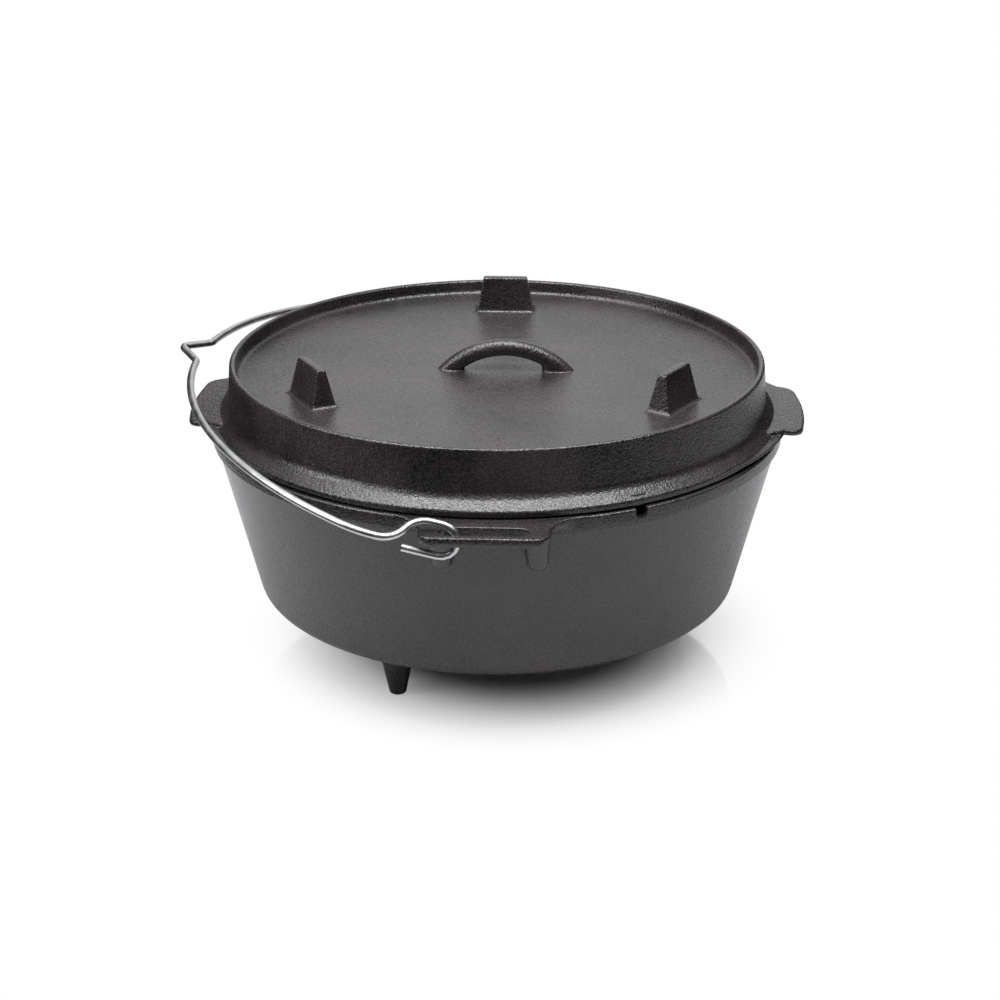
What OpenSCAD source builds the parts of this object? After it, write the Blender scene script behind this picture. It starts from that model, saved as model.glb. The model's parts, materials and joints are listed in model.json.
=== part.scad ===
// Camp oven: a cast-iron pot on three legs, a rimmed lid that holds coals, and a wire bail.
// Millimetres. The origin is on the pot's axis at the level of the leg tips, and +Z is up.

/* [Pot] */
// Inner diameter of the mouth
mouth_d = 340; // [300:1:380]
// Height of the casting from its underside to the top of its rim
pot_h = 111; // [95:0.5:130]
// Thickness of the wall
wall_t = 4.6; // [4:0.1:6]
// Thickness of the floor
floor_t = 5.5; // [4.5:0.1:9]
// Lean of the wall from the vertical, in degrees
wall_lean = 14; // [9:0.1:17]
// Width of the rim, from the mouth to its outer face
rim_w = 7; // [6.5:0.1:10]
// Height of the rim band
rim_h = 9; // [8:0.1:13]
// Outer rounding between wall and floor
bottom_round = 10; // [8:0.5:20]
// Inner rounding between wall and floor
inner_round = 16; // [8:0.5:24]
// Width of the probe notch in the rim
notch_w = 7.5; // [6:0.1:10]
// Depth of the probe notch below the rim's top
notch_h = 6; // [5:0.1:7.5]
// Direction of the probe notch, in degrees to the right of the front ear
notch_turn = 30; // [25:1:50]

/* [Legs] */
// Height of each leg
leg_h = 36; // [28:0.5:50]
// Diameter of a leg where it meets the pot
leg_top_d = 25; // [20:0.5:30]
// Diameter of a leg just above its tip
leg_tip_d = 10; // [8:0.5:14]
// Height of the bevel round a leg's tip
leg_bevel = 1.2; // [0.5:0.1:2]
// Flat floor left outside each leg
leg_inset = 16.5; // [6:0.5:24]

/* [Ears] */
// Reach of each ear beyond the rim
ear_reach = 25; // [22:0.5:30]
// Width of each ear
ear_w = 69; // [64:0.5:80]
// Thickness of each ear
ear_t = 6; // [5:0.1:6.2]
// Length of the slot
slot_l = 46; // [44:0.5:50]
// Width of the slot
slot_w = 11; // [10:0.1:13]
// Width of the bar outside the slot
slot_bar = 5; // [4:0.1:6.5]
// Rounding of the ear's outer corners
ear_round = 9; // [5:0.5:12]
// Hollow rounding where the ear flows into the rim
ear_blend = 22; // [8:0.5:24]
// Slope cut along the ear's upper outer edge
ear_chamfer = 2; // [1.5:0.1:2.5]
// Diameter of the two posts under the ear
post_d = 13; // [9:0.5:14]
// Distance from the middle of the ear to each post
post_off = 26; // [23:0.5:28]
// Lean of the posts towards the pot, in degrees
post_lean = 43; // [40:1:60]

/* [Lid] */
// Width of the lid's seat on the rim
seat_w = 2.5; // [1.5:0.1:3.5]
// Depth of the locating lip that hangs inside the mouth
lip_h = 4.5; // [3:0.1:6]
// Clearance between the lip and the mouth
lip_clear = 2.4; // [2.2:0.1:4]
// Gap between the edge of the lid and the rim
edge_gap = 1; // [0.6:0.1:2]
// Distance by which the rim stands out beyond the edge of the lid
edge_inset = 2; // [1:0.1:4]
// Thickness of the lid's edge
edge_t = 3.6; // [2.5:0.1:5]
// Width of the sloping flange
flange_w = 8; // [6:0.1:11]
// Rise of the sloping flange
flange_rise = 6; // [4:0.1:9]
// Height of the upright skirt, from the flange to the top of the lid's rim
skirt_h = 27.4; // [22:0.2:36]
// Lean of the skirt from the vertical, in degrees
skirt_lean = 4.2; // [2:0.1:7]
// Thickness of the skirt
skirt_t = 4.6; // [4:0.1:6.5]
// Thickness of the top plate
plate_t = 5; // [4.5:0.1:8]
// Height of the lid's rim above the plate
coal_rim_h = 9.2; // [5:0.1:12]
// Width of the lid's rim along its top
coal_rim_w = 3.6; // [3:0.1:5]
// Width of the raised mark on the flange above the probe notch
mark_w = 10; // [6:0.5:14]

/* [Lid handle] */
// Diameter of the handle's bar
handle_d = 10.5; // [8:0.1:13]
// Distance between the bar's ends on the plate, centre to centre
handle_span = 70; // [60:0.5:90]
// Room for a hook under the handle
handle_gap = 9; // [6:0.1:12]
// Distance of the handle to the right of the lid's middle
handle_off = 5.5; // [0:0.5:8]

/* [Lid feet] */
// Distance from the axis to the middle of each foot
foot_circle_r = 124; // [110:0.5:132]
// Height of each foot above the plate
foot_h = 23; // [16:0.5:30]
// Width of a foot at its base
foot_base_w = 37; // [30:0.5:44]
// Width of a foot at its top
foot_top_w = 29; // [20:0.5:29.5]
// Depth of a foot at its base
foot_base_d = 15; // [11:0.5:20]
// Depth of a foot at its top
foot_top_d = 5.5; // [4.5:0.1:9]

/* [Lid tabs] */
// Reach of each tab beyond the edge of the lid
tab_reach = 16; // [13:0.5:18]
// Length of each tab
tab_l = 81; // [60:0.5:90]
// Rounding of the tab's outer corners
tab_round = 14; // [6:0.5:14.5]
// Hollow rounding where the tab flows into the lid
tab_blend = 4; // [3:0.5:12]

/* [Bail] */
// Diameter of the wire
wire_d = 4.5; // [3.5:0.1:4.7]
// Radius of the hook at the middle of the wire
hook_r = 9.6; // [9.5:0.05:9.8]
// Length of the hook's straight tail
tail_l = 13.5; // [12:0.5:16]
// Length by which the front hook is drawn out past its bar
hook_reach = 6.5; // [0:0.5:7]
// Distance by which the rear hook has slid along its slot
hook_slide = 38; // [20:0.5:38]
// Depth of the hinge line below the middle of the ears' thickness
hinge_drop = 1; // [0:0.1:1]
// Angle of the bail above the horizontal, in degrees
bail_rest = 11.4; // [10:0.1:16]
// Radius of the bail's main bow at the middle of the wire
bow_r = 219.5; // [214:0.5:228]
// Distance from the hinge line back to the middle of the bow's circle
bow_back = 38.5; // [36:0.5:42]
// Bend where the bow turns in towards each hook
shoulder_r = 54; // [40:0.5:60]
// Length of the double bend from shoulder to hook
sweep_l = 26.5; // [26:0.5:34]
// Distance from the hinge line to the tip of the grip kink
kink_tip = 193.5; // [190:0.5:203]
// Slope of the kink's two sides, in degrees
kink_turn = 38.5; // [30:0.5:48]
// Bend at the kink's tip
kink_tip_r = 5; // [4:0.5:6]
// Bend at each foot of the kink
kink_foot_r = 8; // [5:0.5:10]

/* [Hidden] */

$fn = 96;
// Straight steps in one rounded stretch of an outline
steps = 8;
// Sides of the bail's tube
tube_sides = 10;
// Overlap of cutting shapes past the faces they cut
past = 2;
iron = "#3b3a39";
iron_lid = "#44423f";
wire_zinc = "#c9cdd0";

// Pot
mouth_r = mouth_d / 2;
rim_r = mouth_r + rim_w;
rim_z = leg_h + pot_h;
band_z = rim_z - rim_h;
wall_run = wall_t / cos(wall_lean);
wall_top_r = mouth_r + wall_run;
floor_z = leg_h + floor_t;
rim_bevel = 1;

// Legs
flat_r = round_centre(wall_top_r, leg_h, bottom_round)[0];
leg_circle_r = flat_r - leg_inset - leg_top_d / 2;
leg_bevel_run = 1;

// Ears
ear_edge_y = rim_r + ear_reach;
ear_z = rim_z - ear_t;
slot_y = ear_edge_y - slot_bar - slot_w / 2;
end_bar = (ear_w - slot_l) / 2;
post_y = rim_r + post_d / 2 - 3;

// Lid
lip_r = mouth_r - lip_clear;
lip_taper = 0.7;
seat_r = mouth_r + seat_w;
edge_r = rim_r - edge_inset;
edge_z = rim_z + edge_gap;
flange_z = edge_z + edge_t;
skirt_z = flange_z + flange_rise;
skirt_r = edge_r - flange_w;
lid_z = skirt_z + skirt_h;
lid_r = skirt_r - skirt_h * tan(skirt_lean);
plate_z = lid_z - coal_rim_h;
under_z = plate_z - plate_t;
coal_r = lid_r - coal_rim_w;
coal_round = 3;
mark_d = 4.5;
mark_h = 2.8;
tab_r = edge_r + tab_reach;

// Lid handle
handle_rise = handle_gap + handle_d / 2;
handle_r = (pow(handle_span / 2, 2) + pow(handle_rise, 2)) / (2 * handle_rise);
handle_half = asin(handle_span / 2 / handle_r);
handle_extra = 12;

// Bail
hook_y = slot_y;
hinge_x = -(slot_l + end_bar) / 2;
hinge_z = rim_z - ear_t / 2 - hinge_drop;
hinge_turn = atan2(hook_slide, 2 * hook_y);
arm_y = hook_y / cos(hinge_turn);
bow_end = acos((sweep_l + bow_back) / (bow_r - shoulder_r));
shoulder_y = (bow_r - shoulder_r) * sin(bow_end) + shoulder_r;
sweep_side = norm([shoulder_y - arm_y, hook_r]);
sweep_roll = atan2(hook_r, shoulder_y - arm_y);
sweep_turn = 2 * atan2(sweep_side, sweep_l);
sweep_r = sweep_l / (2 * sin(sweep_turn));
// The kink's foot bend touches the bow from outside, so its centre lies on a circle about the bow's
kink_start = [
    kink_tip - kink_tip_r + (kink_tip_r + kink_foot_r) * cos(kink_turn),
    (kink_tip_r + kink_foot_r) * sin(kink_turn)
];
kink_way = [-sin(kink_turn), cos(kink_turn)];
kink_from = kink_start + [bow_back, 0];
kink_b = kink_from * kink_way;
kink_c = kink_from * kink_from - pow(bow_r + kink_foot_r, 2);
kink_l = -kink_b - sqrt(kink_b * kink_b - kink_c);
kink_foot = kink_start + kink_l * kink_way;
bow_start = atan2(kink_foot[1], kink_foot[0] + bow_back);

// Centre of a rounding of radius r between the leaning wall and a level floor at height z
function round_centre(top_r, z, r) =
    [top_r - (band_z - z - r) * tan(wall_lean) - r / cos(wall_lean), z + r];

// Points on an arc about c from angle a0 to angle a1, in n steps
function arc(c, r, a0, a1, n = steps) = [for (i = [0 : n]) c + polar(r, a0 + (a1 - a0) * i / n)];

// Point at radius r from the axis and an angle, seen from above
function polar(r, a) = [r * cos(a), r * sin(a)];

// Points of a pot wall's rounded foot, from the floor up to the wall
function foot_arc(top_r, z, r) = arc(round_centre(top_r, z, r), r, -90, -wall_lean);

// Outer outline of the floor and wall, from the axis up to the rim
function wall_outside() = concat(
    [[0, leg_h]],
    foot_arc(wall_top_r, leg_h, bottom_round),
    [[wall_top_r, band_z]]
);

// Inner outline of the floor and wall, from the axis up to the rim
function wall_inside() = concat(
    [[0, floor_z]],
    foot_arc(mouth_r, floor_z, inner_round),
    [[mouth_r, band_z]]
);

// Outer outline of the rim band, from its lower to its upper edge
function rim_outside() = [[rim_r, band_z], [rim_r, rim_z - rim_bevel], [rim_r - rim_bevel, rim_z]];

// The given points in the opposite order
function reversed(p) = [for (i = [len(p) - 1 : -1 : 0]) p[i]];

// Outline of half a plate that reaches out along +Y from a round body of radius r:
// its width w, its outer edge at y, its corner rounding and its hollow blend into the body
function plate_half(r, w, y, corner, blend) =
    let (
        bx = w / 2 + blend,
        by = sqrt(pow(r + blend, 2) - bx * bx),
        meet = atan2(-by, -bx) + 360,
        stop = 0.85
    )
    concat(
        arc([w / 2 - corner, y - corner], corner, 90, 0),
        arc([bx, by], blend, 180, 180 + (meet - 180) * stop),
        [polar(r - past, atan2(by, bx))]
    );

// Outline of a whole such plate
function plate_outline(r, w, y, corner, blend) =
    let (half = plate_half(r, w, y, corner, blend))
    concat(half, reversed([for (p = half) [-p[0], p[1]]]));

// Points in the XY plane as points in space
function flat(p) = [for (q = p) [q[0], q[1], 0]];

// The given points without the first
function rest(p) = [for (i = [1 : len(p) - 1]) p[i]];

// Vector v at length 1
function unit(v) = v / norm(v);

// The part of v that is square to the unit vector w, at length 1
function square_to(v, w) = unit(v - (v * w) * w);

// Middle line of half the bail, from the kink's tip to the end of one hook's tail.
// +X runs out from the hinge line, +Y along it and +Z up from the bail's plane. The hook's bend is drawn
// back by the length back.
function bail_half(back) =
    let (
        tip = [kink_tip - kink_tip_r, 0],
        bow = [-bow_back, 0],
        shoulder = bow + polar(bow_r - shoulder_r, bow_end),
        sweep = concat(
            arc([0, -sweep_r], sweep_r, 90, 90 + sweep_turn),
            rest(arc([-sweep_l, sweep_r - sweep_side], sweep_r, 270 + sweep_turn, 270))
        ),
        hook = arc([-back, 0], hook_r, 90, 270, 12)
    )
    concat(
        flat(arc(tip, kink_tip_r, 0, kink_turn, 3)),
        flat(arc(kink_foot, kink_foot_r, 180 + kink_turn, 180 + bow_start, 4)),
        flat(rest(arc(bow, bow_r, bow_start, bow_end, 18))),
        flat(rest(arc(shoulder, shoulder_r, bow_end, 90, 4))),
        [
            for (p = rest(sweep))
                [sweep_l + p[0], shoulder_y + p[1] * cos(sweep_roll), -p[1] * sin(sweep_roll)]
        ],
        [for (p = back > 0 ? hook : rest(hook)) [p[0], arm_y, p[1]]],
        [[tail_l, arm_y, -hook_r]]
    );

// Everything inside the pot's outer outline
module pot_envelope() {
    rotate_extrude() polygon(concat(wall_outside(), rim_outside(), [[0, rim_z]]));
}

// Tube of diameter d along a path of points, as one closed body
module tube(path, d) {
    count = len(path);
    ways = [for (i = [0 : count - 1]) unit(path[min(i + 1, count - 1)] - path[max(i - 1, 0)])];
    sides = [
        for (i = 0, n = square_to([0, 0, 1], ways[0]);
             i < count;
             i = i + 1, n = square_to(n, ways[min(i, count - 1)])) n
    ];
    points = [
        for (i = [0 : count - 1], k = [0 : tube_sides - 1])
            path[i] + d / 2 * (cos(360 * k / tube_sides) * sides[i]
                + sin(360 * k / tube_sides) * cross(ways[i], sides[i]))
    ];
    walls = [
        for (i = [0 : count - 2], k = [0 : tube_sides - 1])
            let (a = i * tube_sides + k, b = i * tube_sides + (k + 1) % tube_sides)
                each [[a, a + tube_sides, b], [b, a + tube_sides, b + tube_sides]]
    ];
    last = (count - 1) * tube_sides;
    ends = [
        [for (k = [0 : tube_sides - 1]) k],
        [for (k = [tube_sides - 1 : -1 : 0]) last + k]
    ];
    polyhedron(points, concat(walls, ends));
}

// Floor and leaning wall of the pot casting
module pot_shell() {
    color(iron)
        rotate_extrude() polygon(concat(wall_outside(), reversed(wall_inside())));
}

// Rim band round the pot's mouth, with the probe notch
module pot_rim() {
    color(iron)
        difference() {
            rotate_extrude()
                polygon(concat([[mouth_r, band_z]], rim_outside(), [[mouth_r, rim_z]]));
            rotate([0, 0, notch_turn - 90])
                translate([mouth_r - past, -notch_w / 2, rim_z - notch_h])
                    cube([rim_w + 2 * past, notch_w, notch_h + past]);
        }
}

// Slotted ear of the pot on the +Y side, with its two posts
module ear_shape() {
    slot_end = slot_l / 2 - slot_w / 2;
    chamfer_side = ear_chamfer * sqrt(2);
    color(iron)
        difference() {
            union() {
                translate([0, 0, ear_z])
                    linear_extrude(ear_t)
                        polygon(plate_outline(rim_r, ear_w, ear_edge_y, ear_round, ear_blend));
                for (s = [-1, 1])
                    translate([s * post_off, post_y, ear_z + ear_t / 4])
                        rotate([180 - post_lean, 0, 0])
                            cylinder(d = post_d, h = 2.2 * post_d);
            }
            for (s = [-1, 1])
                translate([s * slot_end, slot_y, ear_z - past])
                    cylinder(d = slot_w, h = ear_t + 2 * past);
            translate([-slot_end, slot_y - slot_w / 2, ear_z - past])
                cube([2 * slot_end, slot_w, ear_t + 2 * past]);
            translate([0, ear_edge_y, rim_z])
                rotate([45, 0, 0])
                    cube([ear_w + 2 * past, chamfer_side, chamfer_side], center = true);
            pot_envelope();
        }
}

module front_ear() {
    rotate([0, 0, 180]) ear_shape();
}

module rear_ear() {
    ear_shape();
}

// Tapered leg under the pot, in direction a
module leg_shape(a) {
    tip_r = leg_tip_d / 2;
    color(iron)
        translate(concat(polar(leg_circle_r, a), [0]))
            rotate_extrude()
                polygon([
                    [0, 0], [tip_r - leg_bevel_run, 0], [tip_r, leg_bevel],
                    [leg_top_d / 2, leg_h], [0, leg_h]
                ]);
}

module leg_right() {
    leg_shape(0);
}

module leg_rear_left() {
    leg_shape(120);
}

module leg_front_left() {
    leg_shape(240);
}

// Lid casting: plate, coal rim, skirt, flange and locating lip, with the mark above the notch
module lid_shell() {
    inner_r = skirt_r - skirt_t;
    color(iron_lid)
        union() {
            rotate_extrude()
                polygon(concat(
                    [[0, under_z], [0, plate_z]],
                    arc([coal_r - coal_round, plate_z + coal_round], coal_round, -90, 0),
                    [
                        [coal_r, lid_z], [lid_r, lid_z], [skirt_r, skirt_z], [edge_r, flange_z],
                        [edge_r, edge_z], [seat_r, edge_z], [seat_r, rim_z], [lip_r, rim_z],
                        [lip_r - lip_taper, rim_z - lip_h], [inner_r + lip_taper, rim_z - lip_h],
                        [inner_r, rim_z], [lid_r - skirt_t, under_z]
                    ]
                ));
            rotate([0, 0, notch_turn - 90])
                translate([edge_r - rim_bevel - mark_d, -mark_w / 2, flange_z])
                    cube([mark_d, mark_w, mark_h]);
        }
}

// Low arched bar across the middle of the lid, along X
module lid_handle() {
    reach = handle_r + handle_d;
    color(iron_lid)
        intersection() {
            translate([handle_off, 0, plate_z + handle_rise - handle_r])
                rotate([90, 0, 0])
                    rotate([0, 0, 90 - handle_half - handle_extra])
                        rotate_extrude(angle = 2 * (handle_half + handle_extra))
                            translate([handle_r, 0]) circle(d = handle_d, $fn = 48);
            translate([handle_off - reach, -handle_d, plate_z])
                cube([2 * reach, 2 * handle_d, handle_rise + handle_d]);
        }
}

// Prism with a trapezium section of widths w0 below and w1 above, l long, about the Z axis
module wedge(w0, w1, h, l) {
    translate([0, l / 2, 0])
        rotate([90, 0, 0])
            linear_extrude(l)
                polygon([[-w0 / 2, 0], [w0 / 2, 0], [w1 / 2, h], [-w1 / 2, h]]);
}

// Tapered foot on the lid in direction a, on which the turned lid stands
module lid_foot_shape(a) {
    color(iron_lid)
        rotate([0, 0, a])
            translate([foot_circle_r, 0, plate_z])
                intersection() {
                    wedge(foot_base_d, foot_top_d, foot_h, 2 * foot_base_w);
                    rotate([0, 0, 90]) wedge(foot_base_w, foot_top_w, foot_h, 2 * foot_base_d);
                }
}

module lid_foot_rear() {
    lid_foot_shape(90);
}

module lid_foot_left() {
    lid_foot_shape(210);
}

module lid_foot_right() {
    lid_foot_shape(330);
}

// Lift tab at the edge of the lid, on the +Y side before it is turned by a
module lid_tab_shape(a) {
    color(iron_lid)
        rotate([0, 0, a])
            difference() {
                intersection() {
                    translate([0, 0, edge_z])
                        linear_extrude(edge_t)
                            polygon(plate_outline(edge_r, tab_l, tab_r + past, tab_round + past, tab_blend));
                    translate([0, 0, edge_z - past]) cylinder(r = tab_r, h = edge_t + 2 * past);
                }
                translate([0, 0, edge_z - past]) cylinder(r = edge_r, h = edge_t + 2 * past);
            }
}

module lid_tab_left() {
    lid_tab_shape(90);
}

module lid_tab_right() {
    lid_tab_shape(-90);
}

// Wire bail: a bow with a grip kink, and a hook round a bar of each ear
module bail() {
    front = bail_half(hook_reach);
    rear = [for (p = reversed(rest(bail_half(0)))) [p[0], -p[1], p[2]]];
    color(wire_zinc)
        translate([hinge_x + hook_slide / 2, 0, hinge_z])
            rotate([0, 0, 180 - hinge_turn])
                rotate([0, -bail_rest, 0])
                    tube(concat(rear, front), wire_d);
}

pot_shell();
pot_rim();
front_ear();
rear_ear();
leg_right();
leg_rear_left();
leg_front_left();
lid_shell();
lid_handle();
lid_foot_rear();
lid_foot_left();
lid_foot_right();
lid_tab_left();
lid_tab_right();
bail();
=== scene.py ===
"""Looks of a camp oven: a seasoned cast-iron pot and lid, and a galvanised wire bail.

Each sub-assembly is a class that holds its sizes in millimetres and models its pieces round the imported
frame. What belongs to one casting is modelled so that it flows into the next piece, as poured iron does.
"""
from __future__ import annotations

import json
import logging
import math
from collections.abc import Callable, Iterator, Sequence
from contextlib import contextmanager
from dataclasses import dataclass
from enum import Enum

import bpy
from mathutils import Matrix, Vector

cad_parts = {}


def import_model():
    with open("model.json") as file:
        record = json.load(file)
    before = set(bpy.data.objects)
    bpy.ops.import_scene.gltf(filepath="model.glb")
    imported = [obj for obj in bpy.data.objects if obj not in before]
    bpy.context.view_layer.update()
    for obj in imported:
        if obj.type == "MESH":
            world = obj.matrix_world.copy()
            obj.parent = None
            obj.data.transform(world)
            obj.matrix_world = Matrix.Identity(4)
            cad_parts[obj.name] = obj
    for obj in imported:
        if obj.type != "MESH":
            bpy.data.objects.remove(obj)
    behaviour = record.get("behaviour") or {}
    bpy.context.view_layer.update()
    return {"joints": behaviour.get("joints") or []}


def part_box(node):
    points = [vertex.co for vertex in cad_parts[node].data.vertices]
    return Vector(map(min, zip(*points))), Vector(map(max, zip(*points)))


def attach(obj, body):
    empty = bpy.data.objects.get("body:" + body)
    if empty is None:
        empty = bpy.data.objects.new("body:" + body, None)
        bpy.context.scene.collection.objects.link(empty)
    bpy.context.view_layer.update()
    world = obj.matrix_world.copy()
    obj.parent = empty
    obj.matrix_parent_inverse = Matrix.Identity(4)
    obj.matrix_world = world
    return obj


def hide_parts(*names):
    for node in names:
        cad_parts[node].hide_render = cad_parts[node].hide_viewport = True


LOG = logging.getLogger("camp_oven")
# A millimetre, and the distance within which two places count as one, in metres
MM = 0.001
TOUCH = 0.01 * MM
ORIGIN = Vector((0, 0, 0))
UP = Vector((0, 0, 1))
WHITE = "#ffffff"
# Largest turn between two points of a rounded corner, and the fewest steps in a corner or a bevel
CORNER_TURN = math.radians(9)
FEW_STEPS = 3
# Steps round a casting, round a leg or pad, and round a stub
CASTING_STEPS = 224
LEG_STEPS = 48
STUB_STEPS = 32
# Bevel at a stub's foot, as a share of its radius
STUB_BEVEL = 0.3
# Least share of a level face's normal that points up or down
LEVEL_SHARE = 0.9
# Angle with which every edge is shaded smooth
ALL_SMOOTH = 180.0


class Plane(Enum):
    """Plane in which an outline is drawn."""

    PROFILE = "across X and up Z"
    PLAN = "across X and along Y"

    def point(self, across: float, along: float) -> Vector:
        """Turn two lengths in millimetres into a point in metres.

        Args:
            across: Length along X.
            along: Length along the plane's other axis.

        Returns:
            The point in the frame.
        """
        if self is Plane.PROFILE:
            return Vector((across, 0, along)) * MM
        return Vector((across, along, 0)) * MM


class Level(Enum):
    """Kind of mesh element that a selection is made of."""

    VERTICES = (True, False, False)
    EDGES = (False, True, False)
    FACES = (False, False, True)


class Body(Enum):
    """Moving body of the oven."""

    POT = "pot"
    LID = "lid"
    BAIL = "bail"


class Slot(Enum):
    """Material slot of the record."""

    POT = "pot_iron"
    LID = "lid_iron"
    WIRE = "bail_wire"


@dataclass(frozen=True)
class Corner:
    """Corner of an outline, in millimetres, with the radius that rounds it."""

    across: float
    along: float
    radius: float = 0.0


def around(radius: float, degrees: float) -> tuple[float, float]:
    """Give the point at a radius and a direction, seen from above.

    Args:
        radius: Distance from the axis.
        degrees: Direction, counted from +X.

    Returns:
        Its two lengths, in the radius's unit.
    """
    turn = math.radians(degrees)
    return radius * math.cos(turn), radius * math.sin(turn)


def arc_corners(radius: float, start: float, stop: float, steps: int = 10) -> list[Corner]:
    """Give corners along an arc about the oven's axis, seen from above.

    Args:
        radius: Radius of the arc in millimetres.
        start: Direction of its first corner in degrees.
        stop: Direction of its last corner in degrees.
        steps: Number of steps in it.

    Returns:
        The corners in order.
    """
    return [Corner(*around(radius, start + (stop - start) * step / steps)) for step in range(steps + 1)]


def oblong(across: tuple[float, float], along: tuple[float, float], radius: float = 0.0) -> list[Corner]:
    """Give the plan outline of a rectangle.

    Args:
        across: Its two ends along X.
        along: Its two ends along Y.
        radius: Radius that rounds its corners.

    Returns:
        The four corners in order.
    """
    (left, right), (near, far) = across, along
    return [Corner(x, y, radius) for x, y in ((left, near), (right, near), (right, far), (left, far))]


def clear_selection() -> None:
    """Leave edit mode and deselect everything."""
    if bpy.context.mode != "OBJECT":
        bpy.ops.object.mode_set(mode="OBJECT")
    bpy.ops.object.select_all(action="DESELECT")


def make_active(obj: bpy.types.Object) -> None:
    """Select one object alone and make it the active one.

    Args:
        obj: Object to select.
    """
    clear_selection()
    obj.select_set(True)
    bpy.context.view_layer.objects.active = obj


@contextmanager
def editing(obj: bpy.types.Object, whole: bool = False) -> Iterator[None]:
    """Hold an object in edit mode for as long as the block runs.

    Args:
        obj: Mesh object to edit.
        whole: Whether all of it is selected first.

    Returns:
        Nothing that the block needs.
    """
    make_active(obj)
    bpy.ops.object.mode_set(mode="EDIT")
    if whole:
        bpy.ops.mesh.select_all(action="SELECT")
    yield
    bpy.ops.object.mode_set(mode="OBJECT")


def pick(obj: bpy.types.Object, level: Level, test: Callable[..., bool]) -> None:
    """Select the mesh elements that pass a test, and no others.

    Args:
        obj: Mesh object in object mode.
        level: Kind of element.
        test: Takes an element and says whether it is wanted.
    """
    make_active(obj)
    bpy.context.tool_settings.mesh_select_mode = level.value
    mesh = obj.data
    groups = {Level.VERTICES: mesh.vertices, Level.EDGES: mesh.edges, Level.FACES: mesh.polygons}
    for group in groups.values():
        group.foreach_set("select", [False] * len(group))
    for element in groups[level]:
        element.select = bool(test(element))


def bevel_picked(obj: bpy.types.Object, width: float, steps: int = FEW_STEPS) -> None:
    """Bevel the selected edges, or those of the selected faces.

    Args:
        obj: Mesh object in object mode.
        width: Width of the bevel in millimetres.
        steps: Number of faces across it.
    """
    with editing(obj):
        bpy.ops.mesh.bevel(offset=width * MM, segments=steps, affect="EDGES")


def adopt(name: str) -> bpy.types.Object:
    """Name the active object and its mesh.

    Args:
        name: New name.

    Returns:
        The active object.
    """
    obj = bpy.context.active_object
    obj.name = name
    obj.data.name = name
    return obj


def settle(obj: bpy.types.Object) -> bpy.types.Object:
    """Put an object's place into its mesh, so that it sits at the origin unturned and unscaled.

    Args:
        obj: Mesh object.

    Returns:
        The same object.
    """
    make_active(obj)
    bpy.ops.object.transform_apply(location=True, rotation=True, scale=True)
    return obj


def turn_piece(obj: bpy.types.Object, degrees: float) -> bpy.types.Object:
    """Turn an object about the oven's axis.

    Args:
        obj: Mesh object at the origin.
        degrees: Angle of the turn.

    Returns:
        The same object, with the turn in its mesh.
    """
    obj.rotation_euler = (0, 0, math.radians(degrees))
    return settle(obj)


def round_corner(obj: bpy.types.Object, before: Vector, at: Vector, after: Vector, radius: float) -> None:
    """Round one corner of a chain of edges.

    Args:
        obj: Object that holds the chain.
        before: Corner that comes before.
        at: Corner to round.
        after: Corner that follows.
        radius: Radius in metres.
    """
    half = (before - at).angle(after - at) / 2
    pick(obj, Level.VERTICES, lambda vertex: (vertex.co - at).length < TOUCH)
    with editing(obj):
        bpy.ops.mesh.bevel(
            offset=radius / math.tan(half),
            segments=max(FEW_STEPS, round((math.pi - 2 * half) / CORNER_TURN)),
            affect="VERTICES",
        )


def draw_line(name: str, points: Sequence[Vector]) -> bpy.types.Object:
    """Draw a line by extruding one point from place to place.

    Args:
        name: Name of the new object.
        points: Places in metres, in order.

    Returns:
        The new object.
    """
    clear_selection()
    bpy.ops.mesh.primitive_plane_add(size=MM)
    obj = adopt(name)
    bpy.context.tool_settings.mesh_select_mode = Level.VERTICES.value
    with editing(obj, whole=True):
        bpy.ops.mesh.merge(type="CENTER")
        bpy.ops.transform.translate(value=points[0])
        for here, there in zip(points, points[1:]):
            bpy.ops.mesh.extrude_region_move(TRANSFORM_OT_translate={"value": there - here})
    return obj


def draw_chain(
    name: str, corners: Sequence[Corner], plane: Plane, closed: bool = False
) -> bpy.types.Object:
    """Draw an outline from corner to corner and round the corners.

    Args:
        name: Name of the new object.
        corners: Corners in order.
        plane: Plane that the outline lies in.
        closed: Whether the last corner joins the first, and the outline is filled.

    Returns:
        The new object.
    """
    points = [plane.point(corner.across, corner.along) for corner in corners]
    obj = draw_line(name, points)
    if closed:
        ends = (points[0], points[-1])
        pick(obj, Level.VERTICES, lambda vertex: min((vertex.co - end).length for end in ends) < TOUCH)
        with editing(obj):
            bpy.ops.mesh.edge_face_add()
    last = len(corners) - 1
    for index, corner in enumerate(corners):
        if corner.radius:
            after = points[0] if index == last else points[index + 1]
            round_corner(obj, points[index - 1], points[index], after, corner.radius * MM)
    if closed:
        with editing(obj, whole=True):
            bpy.ops.mesh.edge_face_add()
    return obj


def close_mesh(obj: bpy.types.Object) -> None:
    """Merge doubled points and turn all faces outwards.

    Args:
        obj: Mesh object that should be one closed skin.
    """
    bpy.context.tool_settings.mesh_select_mode = Level.VERTICES.value
    with editing(obj, whole=True):
        bpy.ops.mesh.remove_doubles(threshold=TOUCH / 10)
        bpy.ops.mesh.normals_make_consistent(inside=False)


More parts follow.
